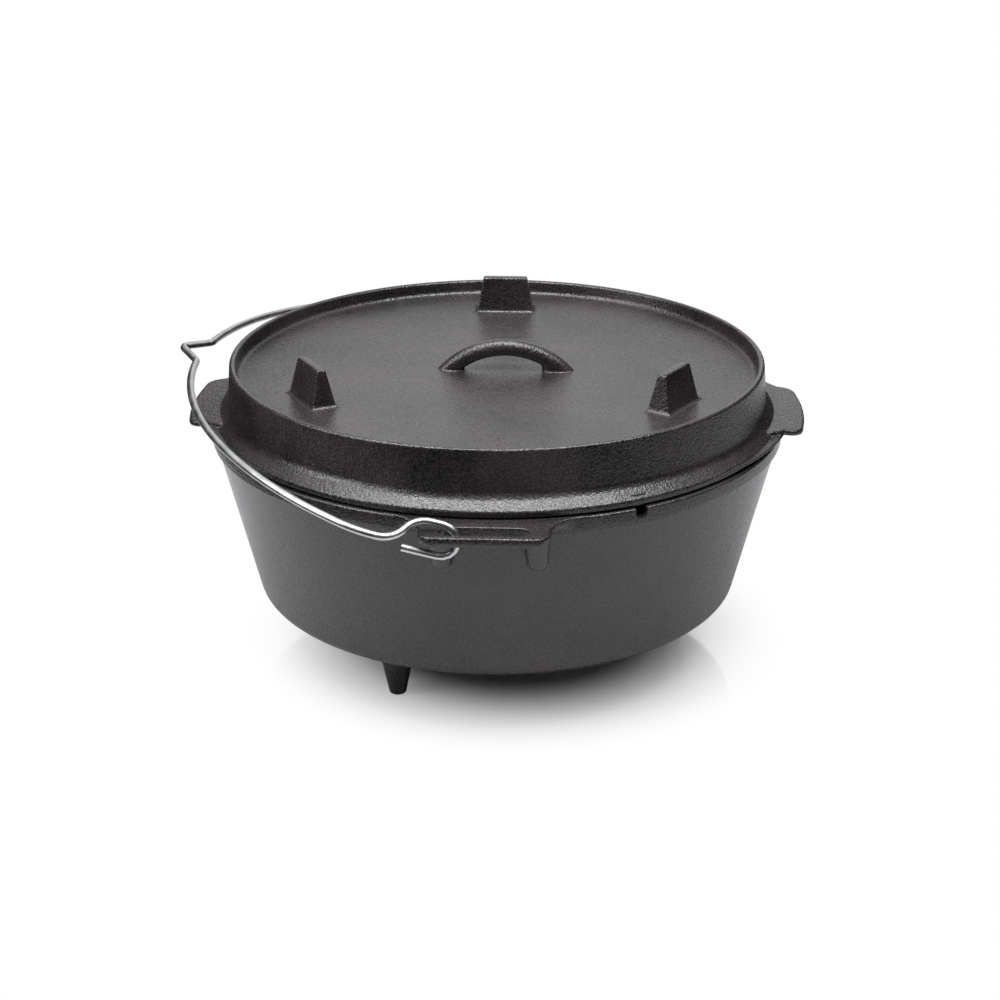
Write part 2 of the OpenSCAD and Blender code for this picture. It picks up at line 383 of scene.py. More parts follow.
def spin(
    obj: bpy.types.Object, degrees: float, steps: int, centre: Vector = ORIGIN, axis: Vector = UP
) -> bpy.types.Object:
    """Spin an outline about an axis, which is the oven's own if none is given, into a skin.

    With no window the operator turns left-handed, so the angle is given with the other sign.

    Args:
        obj: Object that holds the outline.
        degrees: Angle of the spin.
        steps: Number of steps in it.
        centre: Point on the axis.
        axis: Direction of the axis.

    Returns:
        The same object.
    """
    with editing(obj, whole=True):
        bpy.ops.mesh.spin(steps=steps, angle=-math.radians(degrees), center=centre, axis=axis)
    close_mesh(obj)
    return obj


def turn_on_lathe(name: str, corners: Sequence[Corner], steps: int) -> bpy.types.Object:
    """Make a round body from its profile, as on a lathe about the Z axis.

    Args:
        name: Name of the new object.
        corners: Profile that starts and ends on the axis.
        steps: Number of steps round.

    Returns:
        The new object.
    """
    return spin(draw_chain(name, corners, Plane.PROFILE), 360, steps)


def raise_plate(name: str, corners: Sequence[Corner], low: float, high: float) -> bpy.types.Object:
    """Make a plate by raising a filled plan outline.

    Args:
        name: Name of the new object.
        corners: Plan outline.
        low: Height of the underside in millimetres.
        high: Height of the top in millimetres.

    Returns:
        The new object.
    """
    obj = draw_chain(name, corners, Plane.PLAN, closed=True)
    with editing(obj, whole=True):
        bpy.ops.transform.translate(value=(0, 0, low * MM))
        bpy.ops.mesh.extrude_region_move(TRANSFORM_OT_translate={"value": (0, 0, (high - low) * MM)})
    close_mesh(obj)
    return obj


def soften_outside(
    plate: bpy.types.Object,
    radius: float,
    width: float,
    height: float | None = None,
    steps: int = FEW_STEPS,
) -> None:
    """Bevel the level edges of a raised plate that lie outside a radius.

    Args:
        plate: The plate.
        radius: Radius about the oven's axis in millimetres.
        width: Width of the bevel in millimetres.
        height: Height of the edges in millimetres; left out, those of the top and underside are taken.
        steps: Number of faces across the bevel.
    """

    def wanted(edge: bpy.types.MeshEdge) -> bool:
        """Say whether an edge lies level, at the height and outside the radius.

        Args:
            edge: Edge of the plate.

        Returns:
            Whether it is to be bevelled.
        """
        ends = [plate.data.vertices[index].co for index in edge.vertices]
        goal = ends[0].z if height is None else height * MM
        return all(abs(end.z - goal) < TOUCH and end.xy.length > radius * MM for end in ends)

    pick(plate, Level.EDGES, wanted)
    bevel_picked(plate, width, steps)


def ring_sector(name: str, corners: Sequence[Corner], middle: float, spread: float) -> bpy.types.Object:
    """Make a stretch of a ring from a closed profile, in steps of about two degrees.

    Args:
        name: Name of the new object.
        corners: Closed profile of the ring.
        middle: Direction of the stretch's middle in degrees.
        spread: Angle from its middle to each end in degrees.

    Returns:
        The new object.
    """
    obj = turn_piece(draw_chain(name, corners, Plane.PROFILE, closed=True), middle - spread)
    return spin(obj, 2 * spread, round(spread))


def add_stub(name: str, foot: Vector, top: Vector, foot_r: float, top_r: float) -> bpy.types.Object:
    """Add a tapered stub between two points, with a bevelled rim at its foot.

    Args:
        name: Name of the new object.
        foot: Middle of its foot in millimetres.
        top: Middle of its top in millimetres.
        foot_r: Radius of its foot in millimetres.
        top_r: Radius of its top in millimetres.

    Returns:
        The new object.
    """
    way = top - foot
    clear_selection()
    bpy.ops.mesh.primitive_cone_add(
        vertices=STUB_STEPS,
        radius1=foot_r * MM,
        radius2=top_r * MM,
        depth=way.length * MM,
        location=(foot + top) / 2 * MM,
        rotation=way.to_track_quat("Z", "Y").to_euler(),
    )
    stub = adopt(name)
    lowest = min(vertex.co.z for vertex in stub.data.vertices)
    pick(stub, Level.FACES, lambda face: abs(face.center.z - lowest) < TOUCH)
    bevel_picked(stub, STUB_BEVEL * foot_r)
    return settle(stub)


def add_modifier(obj: bpy.types.Object, kind: str, **settings: object) -> None:
    """Add a modifier and apply it.

    Args:
        obj: Mesh object.
        kind: Blender's name for the modifier's type.
        **settings: Values for the modifier.
    """
    make_active(obj)
    modifier = obj.modifiers.new(kind.title(), kind)
    for key, value in settings.items():
        setattr(modifier, key, value)
    bpy.ops.object.modifier_apply(modifier=modifier.name)


def combine(obj: bpy.types.Object, tool: bpy.types.Object, operation: str) -> None:
    """Cut a tool's shape from an object or add it, and delete the tool.

    Args:
        obj: Object that is kept.
        tool: Object that is used up.
        operation: DIFFERENCE or UNION.
    """
    add_modifier(obj, "BOOLEAN", operation=operation, object=tool, solver="EXACT")
    bpy.data.objects.remove(tool)


def shade(obj: bpy.types.Object, degrees: float) -> None:
    """Shade a piece smooth, apart from edges sharper than an angle.

    Args:
        obj: Mesh object.
        degrees: Largest angle that is shaded smooth.
    """
    make_active(obj)
    bpy.ops.object.shade_smooth_by_angle(angle=math.radians(degrees))


def pour(name: str, pieces: Sequence[bpy.types.Object], grain: float, soften: int) -> bpy.types.Object:
    """Melt overlapping pieces into one skin with soft edges and filled corners, as a casting has.

    Args:
        name: Name of the new piece.
        pieces: Closed pieces, which are used up.
        grain: Size of the new skin's faces in millimetres.
        soften: Number of smoothing passes.

    Returns:
        The new piece.
    """
    make_active(pieces[0])
    for piece in pieces[1:]:
        piece.select_set(True)
    bpy.ops.object.join()
    obj = adopt(name)
    add_modifier(obj, "REMESH", mode="VOXEL", voxel_size=grain * MM)
    add_modifier(obj, "SMOOTH", factor=0.5, iterations=soften)
    shade(obj, ALL_SMOOTH)
    return obj


def turned_copy(obj: bpy.types.Object, name: str, degrees: float) -> bpy.types.Object:
    """Copy a piece, with a mesh of its own, and turn the copy about the oven's axis.

    Args:
        obj: Piece to copy.
        name: Name of the copy.
        degrees: Turn about Z.

    Returns:
        The copy.
    """
    make_active(obj)
    bpy.ops.object.duplicate()
    return turn_piece(adopt(name), degrees)


def linear(code: str) -> tuple[float, float, float, float]:
    """Turn an sRGB hex colour into linear red, green, blue and alpha.

    Args:
        code: Colour such as "#3b3a39".

    Returns:
        Four numbers from 0 to 1.
    """
    shares = [int(code[start:start + 2], 16) / 255 for start in (1, 3, 5)]
    red, green, blue = (s / 12.92 if s <= 0.04045 else ((s + 0.055) / 1.055) ** 2.4 for s in shares)
    return red, green, blue, 1.0


def add_node(
    tree: bpy.types.NodeTree,
    kind: str,
    settings: dict[str, object] | None = None,
    values: dict[str | int, object] | None = None,
    links: dict[str | int, bpy.types.NodeSocket | None] | None = None,
) -> bpy.types.Node:
    """Add a node to a tree with its settings, its sockets' values and its links.

    Args:
        tree: Node tree.
        kind: Blender's name for the node's type.
        settings: The node's own properties.
        values: Values of input sockets.
        links: Output sockets that feed input sockets, or None where nothing does.

    Returns:
        The new node.
    """
    node = tree.nodes.new(kind)
    for key, value in (settings or {}).items():
        setattr(node, key, value)
    for key, value in (values or {}).items():
        node.inputs[key].default_value = value
    for key, source in (links or {}).items():
        if source is not None:
            tree.links.new(source, node.inputs[key])
    return node


@dataclass(frozen=True)
class Pattern:
    """Noise in a finish: the size of its features and the height of its relief, in millimetres."""

    size: float
    detail: float
    roughness: float = 0.5
    distortion: float = 0.0
    # Share of the noise in the tone that colour and gloss follow
    share: float = 0.0
    height: float = 0.0


@dataclass(frozen=True)
class Finish:
    """Surface whose colour, gloss and relief follow noise patterns."""

    name: str
    deep: str = "#000000"
    pale: str = WHITE
    smoothest: float = 0.0
    roughest: float = 1.0
    # Stretches of the tone over which the colour and the gloss change
    colour_span: tuple[float, float] = (0.0, 1.0)
    gloss_span: tuple[float, float] = (0.0, 1.0)
    patterns: tuple[Pattern, ...] = ()
    # Values that are the same all over, by the shader's own socket
    constants: tuple[tuple[str, float], ...] = ()

    def build(self) -> bpy.types.Material:
        """Make the material.

        Returns:
            The material.
        """
        material = bpy.data.materials.new(self.name)
        material.use_nodes = True
        tree = material.node_tree
        shader = tree.nodes["Principled BSDF"]
        for socket, value in self.constants:
            shader.inputs[socket].default_value = value
        place = add_node(tree, "ShaderNodeTexCoord").outputs["Object"]
        tone = relief = None
        for pattern in self.patterns:
            noise = add_node(
                tree,
                "ShaderNodeTexNoise",
                values={
                    # Features to the metre
                    "Scale": 1 / (pattern.size * MM),
                    "Detail": pattern.detail,
                    "Roughness": pattern.roughness,
                    "Distortion": pattern.distortion,
                },
                links={"Vector": place},
            ).outputs["Fac"]
            if pattern.share:
                tone = add_node(
                    tree,
                    "ShaderNodeMath",
                    settings={"operation": "MULTIPLY_ADD"},
                    values={1: pattern.share, 2: 0.0},
                    links={0: noise, 2: tone},
                ).outputs[0]
            if pattern.height:
                relief = add_node(
                    tree,
                    "ShaderNodeBump",
                    values={"Strength": 1.0, "Distance": pattern.height * MM},
                    links={"Height": noise, "Normal": relief},
                ).outputs["Normal"]
        colour = add_node(tree, "ShaderNodeValToRGB", links={"Fac": tone})
        stops = zip(colour.color_ramp.elements, self.colour_span, (self.deep, self.pale))
        for stop, position, code in stops:
            stop.position = position
            stop.color = linear(code)
        gloss = add_node(
            tree,
            "ShaderNodeMapRange",
            values={
                "From Min": self.gloss_span[0],
                "From Max": self.gloss_span[1],
                "To Min": self.smoothest,
                "To Max": self.roughest,
            },
            links={"Value": tone},
        )
        tree.links.new(colour.outputs["Color"], shader.inputs["Base Color"])
        tree.links.new(gloss.outputs["Result"], shader.inputs["Roughness"])
        tree.links.new(relief, shader.inputs["Normal"])
        return material


@dataclass(frozen=True)
class SeasonedIron(Finish):
    """Grey iron cast in sand and baked with oil: satin black, with the sand's grain still in its skin."""

    deep: str = "#0a0909"
    pale: str = "#383334"
    smoothest: float = 0.18
    roughest: float = 0.32
    colour_span: tuple[float, float] = (0.34, 0.68)
    gloss_span: tuple[float, float] = (0.35, 0.65)
    patterns: tuple[Pattern, ...] = (
        # Uneven patches of the oil coat
        Pattern(size=55.0, detail=4.0, distortion=0.4, share=0.45),
        # Low lumps left by the mould's surface
        Pattern(size=7.0, detail=3.0, height=0.22),
        # Sand grain, drawn about twice as coarse as the real one so that it shows at the camera's distance
        Pattern(size=1.4, detail=2.0, roughness=0.6, share=0.55, height=0.42),
    )
    # The baked oil reflects as a hard varnish does
    constants: tuple[tuple[str, float], ...] = (("IOR", 1.52),)


@dataclass(frozen=True)
class GalvanisedWire(Finish):
    """Drawn steel wire with a bright zinc coat: pale grey metal with a faint cloudy mottle."""

    deep: str = "#abaeaf"
    pale: str = "#bec0c0"
    smoothest: float = 0.28
    roughest: float = 0.36
    colour_span: tuple[float, float] = (0.35, 0.65)
    gloss_span: tuple[float, float] = (0.3, 0.7)
    patterns: tuple[Pattern, ...] = (
        # Clouds of the zinc's crystals
        Pattern(size=7.0, detail=4.0, share=1.0),
        # Ripple of the dipped coat
        Pattern(size=2.5, detail=1.0, height=0.02),
    )
    constants: tuple[tuple[str, float], ...] = (("Metallic", 1.0),)


def dress(
    piece: bpy.types.Object,
    material: bpy.types.Material,
    body: Body,
    nodes: Sequence[str],
) -> None:
    """Give a finished piece its material, its body and the nodes that it stands for.

    Args:
        piece: Finished piece.
        material: Its finish.
        body: Body that it moves with.
        nodes: Nodes of the frame that it replaces.
    """
    piece.data.materials.clear()
    piece.data.materials.append(material)
    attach(piece, body.value)
    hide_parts(*nodes)
    LOG.info("%s: %d faces, on %s", piece.name, len(piece.data.polygons), body.value)


@dataclass
class PotCasting:
    """Pot with its rim band, two slotted ears on posts, and three legs."""

    iron: bpy.types.Material
    mouth_r: float = 170.0
    wall: float = 4.6
    floor: float = 5.5
    # Lean of the wall in degrees
    lean: float = 14.0
    band: float = 9.0
    foot_round: float = 10.0
    inner_round: float = 16.0
    rim_round: float = 1.4
    band_round: float = 0.6
    notch_width: float = 7.5
    notch_depth: float = 6.0
    notch_turn: float = -60.0
    # Bevel that rounds the notch's bottom, and the number of faces across it
    notch_round: float = 3.0
    notch_steps: int = 6
    # Reach of an ear to the right and to the left of the oven's middle line, seen from the inside
    ear_sides: tuple[float, float] = (34.8, 38.0)
    ear_thick: float = 6.4
    ear_corner: float = 9.0
    ear_blend: float = 22.0
    # Angle by which an ear's side runs on along the rim
    ear_run: float = 2.0
    ear_bevel: float = 1.2
    ear_undercut: float = 3.0
    # Distance from the rim at which these bevels start
    ear_clear: float = 0.5
    # Size of the faces and number of smoothing passes that it is poured with
    ear_pour: tuple[float, int] = (0.7, 5)
    slot_sides: tuple[float, float] = (23.0, 26.4)
    slot_width: float = 11.0
    slot_bar: float = 5.0
    # A slot's width over the radius of its ends, more than 2 so that the ends' corners stay apart
    slot_ends: float = 2.05
    # Length by which the slot's cutter stands out of the ear
    slot_overcut: float = 5.0
    post_sides: tuple[float, float] = (23.0, 30.5)
    post_drop: float = 21.0
    post_foot_r: float = 6.4
    post_head_r: float = 7.6
    # Distance of a post's foot from the wall and of its head from the rim, and the head's height in the ear
    post_foot_out: float = 1.5
    post_head_out: float = 4.0
    post_head_in: float = 2.0
    # Reach of an ear's root pad below the band, its thickness, and the angle by which it outreaches the ear
    pad_drop: float = 29.0
    pad_thick: float = 3.0
    pad_run: float = 4.0
    leg_round: float = 1.6
    leg_fillet: float = 6.0
    # Radius of a leg's tip as a share of that of its top
    leg_taper: float = 0.4
    # Length by which a leg runs on into the pot's floor
    leg_sunk: float = 2.0
    # Depth below a neighbour's surface at which a poured piece starts, so that it leaves it at a slant
    sunk: float = 0.25
    # Angles past which an edge shows as a crease
    crease: float = 32.0
    leg_crease: float = 40.0

    def __post_init__(self) -> None:
        """Read the sizes that the frame gives."""
        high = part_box("pot_rim")[1]
        self.rim_r = high.x / MM
        self.rim_z = high.z / MM
        self.base_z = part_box("pot_shell")[0].z / MM
        self.slope = math.tan(math.radians(self.lean))
        self.band_z = self.rim_z - self.band
        self.wall_r = self.mouth_r + self.wall / math.cos(math.radians(self.lean))

    def outside_r(self, z: float) -> float:
        """Give the wall's outer radius at a height below the band."""
        return self.wall_r - (self.band_z - z) * self.slope

    def inside_r(self, z: float) -> float:
        """Give the wall's inner radius at a height below the band."""
        return self.mouth_r - (self.band_z - z) * self.slope

    def shell(self) -> bpy.types.Object:
        """Turn the floor, wall and rim band, and cut the probe notch.

        Returns:
            The piece.
        """
        floor_z = self.base_z + self.floor
        step = self.rim_r - self.wall_r
        step_z = self.band_z - step / 2
        shell = turn_on_lathe("pot_shell_cast", [
            Corner(0, self.base_z),
            Corner(self.outside_r(self.base_z), self.base_z, self.foot_round),
            Corner(self.outside_r(step_z), step_z, self.band_round),
            Corner(self.rim_r, self.band_z + step / 2, self.band_round),
            Corner(self.rim_r, self.rim_z, self.rim_round),
            Corner(self.mouth_r, self.rim_z, self.rim_round),
            Corner(self.mouth_r, self.band_z, self.band),
            Corner(self.inside_r(floor_z), floor_z, self.inner_round),
            Corner(0, floor_z),
        ], CASTING_STEPS)
        reach = 2 * self.rim_round
        half = self.notch_width / 2
        bottom = self.rim_z - self.notch_depth
        outline = oblong((self.mouth_r - reach, self.rim_r + reach), (-half, half))
        cutter = raise_plate("notch_cutter", outline, bottom, self.rim_z + reach)
        soften_outside(cutter, 0, self.notch_round, bottom, self.notch_steps)
        combine(shell, turn_piece(cutter, self.notch_turn), "DIFFERENCE")
        shade(shell, self.crease)
        return shell

    def ear(self) -> bpy.types.Object:
        """Pour the rear ear: a slotted plate that grows out of the rim, on two posts.

        Returns:
            The piece.
        """
        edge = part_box("rear_ear")[1].y / MM
        top = self.rim_z + self.sunk / 2
        under = self.rim_z - self.ear_thick
        right, left = (self.ear_side(half, edge) for half in self.ear_sides)
        mirrored = [Corner(-corner.across, corner.along, corner.radius) for corner in reversed(left)]
        first = 90 - self.ear_spread(self.ear_sides[0])
        last = 180 - (90 - self.ear_spread(self.ear_sides[1]))
        inner = arc_corners((self.mouth_r + self.rim_r) / 2, last, first)
        plate = raise_plate("ear_plate", right + mirrored + inner, under, top)
        for height, width in ((top, self.ear_bevel), (under, self.ear_undercut)):
            soften_outside(plate, self.rim_r + self.ear_clear, width, height)
        slot_far = edge - self.slot_bar
        outline = oblong(
            (-self.slot_sides[1], self.slot_sides[0]),
            (slot_far - self.slot_width, slot_far),
            self.slot_width / self.slot_ends,
        )
        slot = raise_plate("slot_cutter", outline, under - self.slot_overcut, top + self.slot_overcut)
        combine(plate, slot, "DIFFERENCE")
        pieces = [plate, self.root_pad((first + last) / 2, (last - first) / 2 + self.pad_run)]
        post_z = under - self.post_drop
        for side in (self.post_sides[0], -self.post_sides[1]):
            foot = Vector((side, self.outside_r(post_z) + self.post_foot_out, post_z))
            head = Vector((side, self.rim_r + self.post_head_out, under + self.post_head_in))
            pieces.append(add_stub("post", foot, head, self.post_foot_r, self.post_head_r))
        return pour("rear_ear_cast", pieces, *self.ear_pour)

    def ear_meet(self, half: float) -> float:
        """Give the angle from +X, in radians, to where the blend of an ear's side touches the rim."""
        return math.acos((half + self.ear_blend) / (self.rim_r + self.ear_blend))

    def ear_spread(self, half: float) -> float:
        """Give the angle from an ear's middle to where its side has run into the rim."""
        return 90 + self.ear_run - math.degrees(self.ear_meet(half))

    def ear_side(self, half: float, edge: float) -> list[Corner]:
        """Work out one side of an ear's outline, from the rim to its outer edge.

        Args:
            half: Reach of the side from the ear's middle line.
            edge: Place of the outer edge along Y.

        Returns:
            The corners of a right-hand side.
        """
        meet = self.ear_meet(half)
        root = (self.rim_r - half * math.cos(meet)) / math.sin(meet)
        return [
            Corner(*around(self.rim_r - self.sunk, 90 - self.ear_spread(half))),
            Corner(half, root, self.ear_blend),
            Corner(half, edge, self.ear_corner),
        ]

    def root_pad(self, middle: float, spread: float) -> bpy.types.Object:
        """Make a stretch of wall and rim just under the pot's surface, for an ear to grow from.

        Args:
            middle: Direction of its middle in degrees.
            spread: Angle from its middle to each end in degrees.

        Returns:
            The pad.
        """
        low = self.band_z - self.pad_drop
        top = self.rim_z - 3 * self.sunk
        sunk_r = self.rim_r - self.sunk
        return ring_sector("root_pad", [
            Corner(self.outside_r(low) - self.sunk, low),
            Corner(self.wall_r - self.sunk, self.band_z),
            Corner(sunk_r, self.band_z + self.sunk),
            Corner(sunk_r, top),
            Corner(self.mouth_r + self.pad_thick / 2, top),
            Corner(self.outside_r(low) - self.pad_thick, low),
        ], middle, spread)

    def leg(self, node: str) -> bpy.types.Object:
        """Turn one leg: a taper with a rounded tip that flares into the pot's floor.

        Args:
            node: Node of the frame that it replaces.

        Returns:
            The piece.
        """
        low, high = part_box(node)
        middle = (low + high) / 2
        top_r = (high.x - low.x) / 2 / MM
        flare_r = top_r + 2 * self.leg_fillet
        height = (high.z - low.z) / MM + self.sunk
        leg = turn_on_lathe(node + "_cast", [
            Corner(0, 0),
            Corner(self.leg_taper * top_r, 0, self.leg_round),
            Corner(top_r, height, self.leg_fillet),
            Corner(flare_r, height),
            Corner(flare_r, height + self.leg_sunk),
            Corner(0, height + self.leg_sunk),
        ], LEG_STEPS)
        leg.location = (middle.x, middle.y, 0)
        shade(settle(leg), self.leg_crease)
        return leg

    def build(self) -> None:
        """Model all the pot's pieces and dress them."""
        shell = self.shell()
        rear = self.ear()
        front = turned_copy(rear, "front_ear_cast", 180)
        pieces = [(shell, ["pot_shell", "pot_rim"]), (rear, ["rear_ear"]), (front, ["front_ear"])]
        pieces += [(self.leg(node), [node]) for node in ("leg_right", "leg_rear_left", "leg_front_left")]
        for piece, nodes in pieces:
            dress(piece, self.iron, Body.POT, nodes)


@dataclass
class LidCasting:
    """Lid with its coal rim, skirt and flange, a handle bar, three feet and two tabs."""

    iron: bpy.types.Material
    plate: float = 5.0
    coal_rim: float = 9.2
    coal_rim_w: float = 3.6
    # Distance by which the coal rim's inner face leans in towards the plate
    coal_lean: float = 0.6
    coal_fillet: float = 3.5
    rim_round: float = 1.7
    skirt_h: float = 27.4
    # Lean of the skirt in degrees
    skirt_lean: float = 4.2
    skirt_t: float = 4.6
    flange_w: float = 8.0
    flange_rise: float = 6.0
    flange_fillet: float = 7.0
    edge_round: float = 1.9
    seat_r: float = 172.5
    lip_h: float = 4.5
    lip_r: float = 167.6
    lip_taper: float = 0.7
    lip_round: float = 1.0
    # Fillets inside the lid, above the lip and under the plate
    lip_fillet: float = 4.0
    plate_fillet: float = 8.0
    handle_d: float = 10.5
    handle_gap: float = 9.0
    handle_span: float = 70.0
    # Angle by which the bar runs on into the plate at each end
    handle_sunk: float = 9.0
    # Points round the bar, and steps along it
    handle_steps: tuple[int, int] = (28, 40)
    handle_pad_r: float = 18.0
    # Size of the faces and number of smoothing passes that it is poured with, here and below
    handle_pour: tuple[float, int] = (0.55, 5)
    # Fillet stub inside the bar's right end: its foot from that end, its run to its top, and its taper
    heel_at: tuple[float, float] = (-6.5, -1.0)
    heel_run: tuple[float, float] = (-3.5, 8.0)
    heel_taper: float = 1.2
    foot_top: tuple[float, float] = (29.0, 5.5)
    foot_base: tuple[float, float] = (37.0, 15.0)
    foot_bevel: float = 1.0
    # Steps of the hollow flare at a foot's base: drop and growth on each side
    foot_flare: tuple[tuple[float, float], ...] = ((1.3, 0.4), (0.8, 0.9), (0.5, 1.4))
    foot_pad_r: float = 26.0
    foot_pour: tuple[float, int] = (0.5, 3)
    # Thickness of the pads that the handle and the feet grow from
    disc_thick: float = 2.5
    # Where a tab's side leaves the flange, and where it turns into the outer edge
    tab_root: tuple[float, float] = (176.8, 40.8)
    tab_shoulder: tuple[float, float] = (187.4, 40.3)
    tab_blend: float = 3.0
    tab_corner: float = 9.0
    # Places along Y at which a tab's outer edge is drawn
    tab_edge: tuple[float, ...] = (30.0, 20.0, 10.0, 0.0, -10.0, -20.0, -30.0)
    # Angle by which a tab's side runs on along the flange's edge
    tab_run: float = 3.0
    # Top and underside of a tab above the flange's edge, and its fall towards the tip in degrees
    tab_rise: tuple[float, float] = (1.9, -1.8)
    tab_fall: float = 6.0
    tab_bevel: float = 1.2
    # Distance from the flange's edge at which this bevel starts, and from the skirt at which a tab starts
    tab_clear: float = 0.2
    tab_inset: float = 1.0
    tab_pour: tuple[float, int] = (0.6, 5)
    # Reach of a tab's root pad up the skirt and into it, and the angle by which it outreaches the tab
    pad_rise: float = 6.0
    pad_depth: float = 3.0
    pad_run: float = 4.0
    # Growth of the flange's edge towards a tab, the direction in which it starts, and its steps on each side
    wing_w: float = 6.2
    wing_turn: float = 45.0
    wing_steps: int = 15
    # Depth, width and height of the mark above the notch, its rounding and its root in the flange
    mark: tuple[float, float, float] = (5.5, 9.0, 2.2)
    mark_round: float = 1.0
    mark_sunk: float = 1.0
    mark_turn: float = -60.0
    # Depth below a neighbour's surface at which a poured piece starts, so that it leaves it at a slant
    sunk: float = 0.25
    # Angle past which an edge shows as a crease
    crease: float = 32.0

    def __post_init__(self) -> None:
        """Read the sizes that the frame gives."""
        low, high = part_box("lid_shell")
        self.edge_r = high.x / MM
        self.top_z = high.z / MM
        self.lip_z = low.z / MM
        self.seat_z = self.lip_z + self.lip_h
        self.edge_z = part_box("lid_tab_left")[0].z / MM
        self.plate_z = self.top_z - self.coal_rim
        self.skirt_z = self.top_z - self.skirt_h
        self.skirt_r = self.edge_r - self.flange_w
        self.flange_z = self.skirt_z - self.flange_rise
        self.top_r = self.skirt_r - self.skirt_h * math.tan(math.radians(self.skirt_lean))
        self.root_turn = math.degrees(math.atan2(self.tab_root[1], self.tab_root[0]))

    def shell(self) -> bpy.types.Object:
        """Turn the plate, coal rim, skirt, flange and lip, and add the mark above the notch.

        Returns:
            The piece.
        """
        under_z = self.plate_z - self.plate
        coal_r = self.top_r - self.coal_rim_w
        inner_r = self.skirt_r - self.skirt_t
        shell = turn_on_lathe("lid_shell_cast", [
            Corner(0, self.plate_z),
            Corner(coal_r - self.coal_lean, self.plate_z, self.coal_fillet),
            Corner(coal_r, self.top_z, self.rim_round),
            Corner(self.top_r, self.top_z, self.rim_round),
            Corner(self.skirt_r, self.skirt_z, self.flange_fillet),
            Corner(self.edge_r, self.flange_z, self.edge_round),
            Corner(self.edge_r, self.edge_z, self.edge_round / 2),
            Corner(self.seat_r, self.edge_z),
            Corner(self.seat_r, self.seat_z),
            Corner(self.lip_r, self.seat_z),
            Corner(self.lip_r - self.lip_taper, self.lip_z, self.lip_round),
            Corner(inner_r + self.lip_taper, self.lip_z, self.lip_round),
            Corner(inner_r, self.seat_z, self.lip_fillet),
            Corner(self.top_r - self.skirt_t, under_z, self.plate_fillet),
            Corner(0, under_z),
        ], CASTING_STEPS)
        combine(shell, self.flange_mark(), "UNION")
        shade(shell, self.crease)
        return shell

    def flange_mark(self) -> bpy.types.Object:
        """Make the small raised mark on the flange above the probe notch.

        Returns:
            The mark, which the shell takes in.
        """
        deep, wide, high = self.mark
        inner = self.edge_r - self.edge_round - deep
        outline = oblong((inner, inner + deep), (-wide / 2, wide / 2), self.mark_round)
        mark = raise_plate("flange_mark", outline, self.flange_z - self.mark_sunk, self.flange_z + high)
        return turn_piece(mark, self.mark_turn)

    def disc_pad(self, x: float, y: float, radius: float) -> bpy.types.Object:
        """Make a disc just under the plate's surface, for a foot or bar to grow from.

        Args:
            x: Its place along X.
            y: Its place along Y.
            radius: Its radius.

        Returns:
            The pad.
        """
        middle_z = self.plate_z - self.sunk - self.disc_thick / 2
        clear_selection()
        bpy.ops.mesh.primitive_cylinder_add(
            vertices=LEG_STEPS,
            radius=radius * MM,
            depth=self.disc_thick * MM,
            location=(x * MM, y * MM, middle_z * MM),
        )
        return settle(adopt("disc_pad"))

    def foot(self) -> bpy.types.Object:
        """Pour the rear foot: a tapered block that grows out of the plate.

        Returns:
            The piece.
        """
        low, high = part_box("lid_foot_rear")
        centre = (low + high) / 2
        height = high.z - low.z
        clear_selection()
        bpy.ops.mesh.primitive_cube_add(size=1, location=centre)
        block = adopt("foot_block")
        block.scale = (self.foot_base[0] * MM, self.foot_base[1] * MM, height)
        settle(block)
        pick(block, Level.FACES, lambda face: face.normal.z > LEVEL_SHARE)
        with editing(block):
            shrink = [top / base for top, base in zip(self.foot_top, self.foot_base)]
            bpy.ops.transform.resize(value=(*shrink, 1), center_override=(centre.x, centre.y, high.z))
            bpy.ops.mesh.bevel(offset=self.foot_bevel * MM, segments=FEW_STEPS, affect="EDGES")
        rise = sum(drop for drop, growth in self.foot_flare) * MM
        share = rise / height
        wide, deep = (base - (base - top) * share for top, base in zip(self.foot_top, self.foot_base))
        pivot = (centre.x, centre.y, low.z)
        pick(block, Level.FACES, lambda face: face.normal.z < -LEVEL_SHARE)
        with editing(block):
            bpy.ops.transform.translate(value=(0, 0, rise))
            narrowed = (wide / self.foot_base[0], deep / self.foot_base[1], 1)
            bpy.ops.transform.resize(value=narrowed, center_override=pivot)
            for drop, growth in self.foot_flare:
                bpy.ops.mesh.extrude_region_move(TRANSFORM_OT_translate={"value": (0, 0, -drop * MM)})
                widened = ((wide + 2 * growth) / wide, (deep + 2 * growth) / deep, 1)
                bpy.ops.transform.resize(value=widened, center_override=pivot)
                wide, deep = wide + 2 * growth, deep + 2 * growth
            sink = (0, 0, -2 * self.sunk * MM)
            bpy.ops.mesh.extrude_region_move(TRANSFORM_OT_translate={"value": sink})
        pad = self.disc_pad(centre.x / MM, centre.y / MM, self.foot_pad_r)
        return pour("lid_foot_rear_cast", [block, pad], *self.foot_pour)

